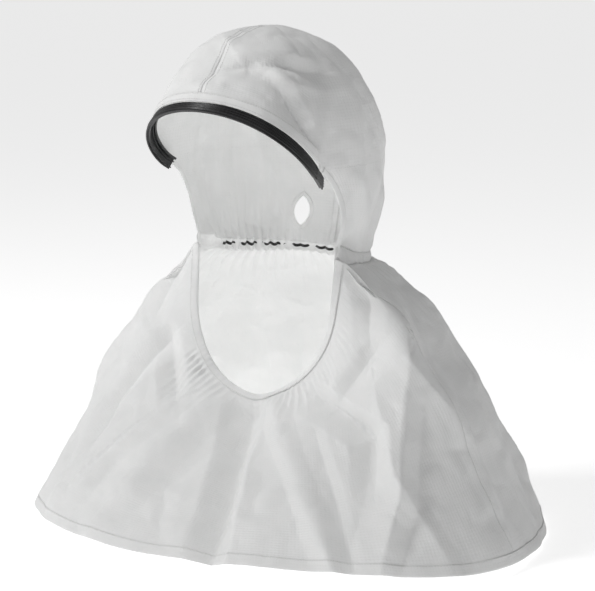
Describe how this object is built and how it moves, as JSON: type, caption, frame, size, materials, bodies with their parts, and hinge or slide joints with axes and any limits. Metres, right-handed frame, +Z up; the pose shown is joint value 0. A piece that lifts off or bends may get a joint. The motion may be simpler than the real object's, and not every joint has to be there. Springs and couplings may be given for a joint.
{
  "type": "powered air respirator hood",
  "caption": "White cloth respirator hood with a shoulder cape, a black ribbed brow profile, an elastic neck and chin line and a slit port for a breathing tube at the back.",
  "frame": {"origin": "the inside of the crown at its highest point, where the hood rests on the head", "axes": "+X towards the wearer's left, +Y towards the wearer's back, +Z up"},
  "size_m": [0.6538, 0.4848, 0.611],
  "materials": {
    "coated_fabric": "matt non-woven",
    "fabric_tape": "matt non-woven",
    "brow_rubber": "satin, ribbed",
    "black_elastic": "knitted",
    "white_elastic": "knitted",
    "thread": "spun thread"
  },
  "bodies": {
    "hood": {"crown_panel_left": "coated_fabric", "crown_panel_right": "coated_fabric", "crown_seam_tape": "fabric_tape", "crown_stitching": "thread", "brow_tape": "fabric_tape", "brow_profile": "brow_rubber", "brow_stitching": "thread", "port_binding": "fabric_tape", "face_binding_left": "fabric_tape", "face_binding_right": "fabric_tape"},
    "neck": {"nape_casing": "coated_fabric", "nape_elastic": "black_elastic"},
    "cape": {"bib_panel": "coated_fabric", "cape_panel_left": "coated_fabric", "cape_panel_right": "coated_fabric", "shoulder_tape_left": "fabric_tape", "shoulder_tape_right": "fabric_tape", "back_seam_tape": "fabric_tape", "chin_casing": "fabric_tape", "chin_elastic": "white_elastic", "chin_stitching": "thread", "cape_hem": "coated_fabric", "hem_stitching": "thread"}
  },
  "joints": [
    {"name": "neck_turn", "type": "hinge", "parent": "hood", "child": "neck", "pos_m": [0, 0.05, -0.158], "axis": [0, 0, 1], "range_deg": [-30, 30], "stiffness_Nm_per_rad": 0.3},
    {"name": "neck_nod", "type": "hinge", "parent": "neck", "child": "cape", "pos_m": [0, 0.05, -0.158], "axis": [1, 0, 0], "range_deg": [-14, 14], "stiffness_Nm_per_rad": 0.6}
  ]
}
